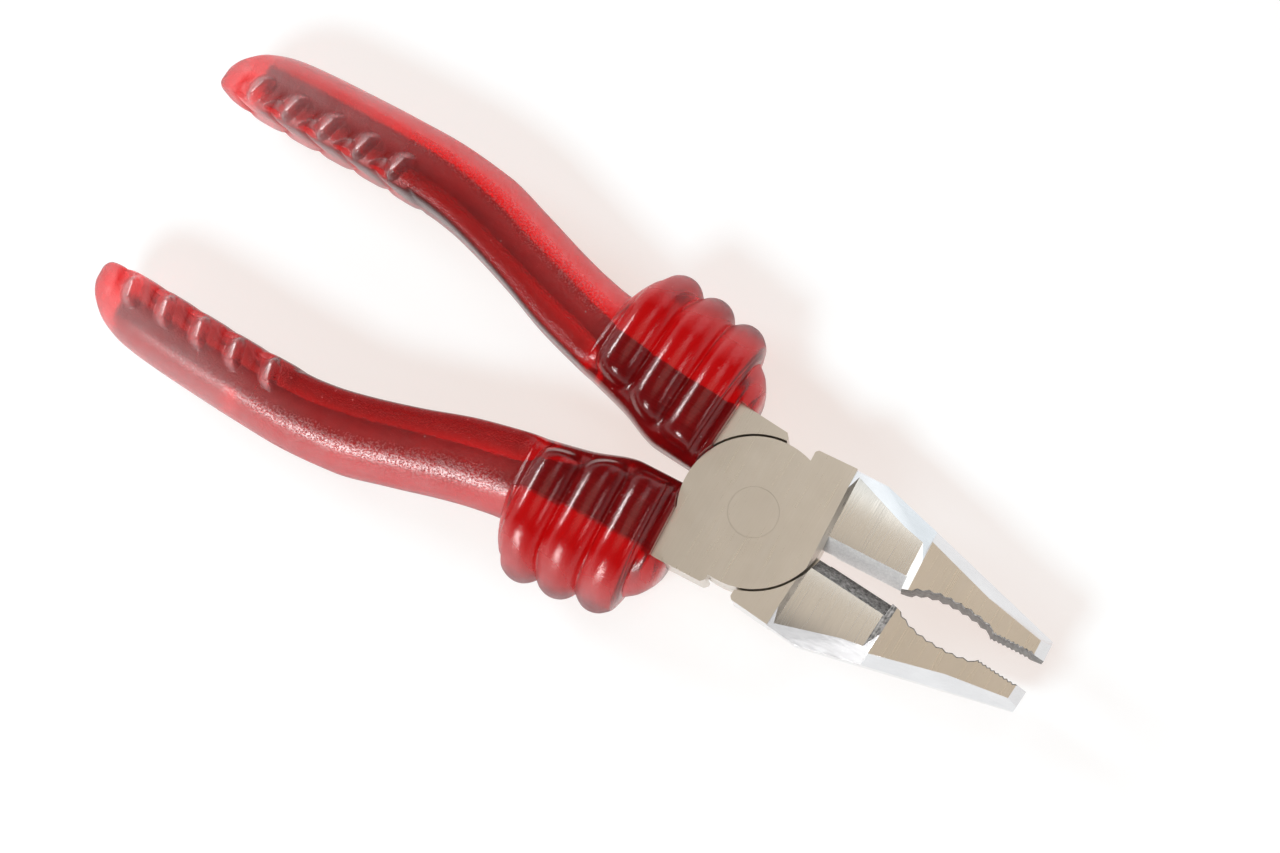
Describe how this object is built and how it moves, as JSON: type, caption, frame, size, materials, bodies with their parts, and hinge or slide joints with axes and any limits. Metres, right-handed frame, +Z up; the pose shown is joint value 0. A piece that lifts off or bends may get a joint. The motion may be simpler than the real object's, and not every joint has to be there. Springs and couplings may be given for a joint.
{
  "type": "combination pliers",
  "caption": "Combination pliers with a flush riveted lap joint, pipe-grip and flat toothed jaws, side cutters, and translucent red handle sleeves with a ribbed slip guard.",
  "frame": {"origin": "on the rivet's axis, at the flat underside of the head", "axes": "+X from the rivet to the jaw tips along the tool's centre line, +Y to the top lever's jaw, +Z up through the rivet"},
  "size_m": [0.179, 0.0634, 0.0198],
  "materials": {
    "forged_steel": "satin ground",
    "rivet_steel": "ground flush",
    "red_vinyl": "translucent moulded vinyl"
  },
  "bodies": {
    "top_half": {"top_lever": "forged_steel", "pivot_rivet": "rivet_steel", "top_lever_grip": "red_vinyl"},
    "bottom_half": {"bottom_lever": "forged_steel", "bottom_lever_grip": "red_vinyl"}
  },
  "joints": [
    {"name": "jaw_pivot", "type": "hinge", "parent": "top_half", "child": "bottom_half", "pos_m": [0, 0, 0.0055], "axis": [0, 0, -1], "range_deg": [-5.7, 19.5]}
  ]
}
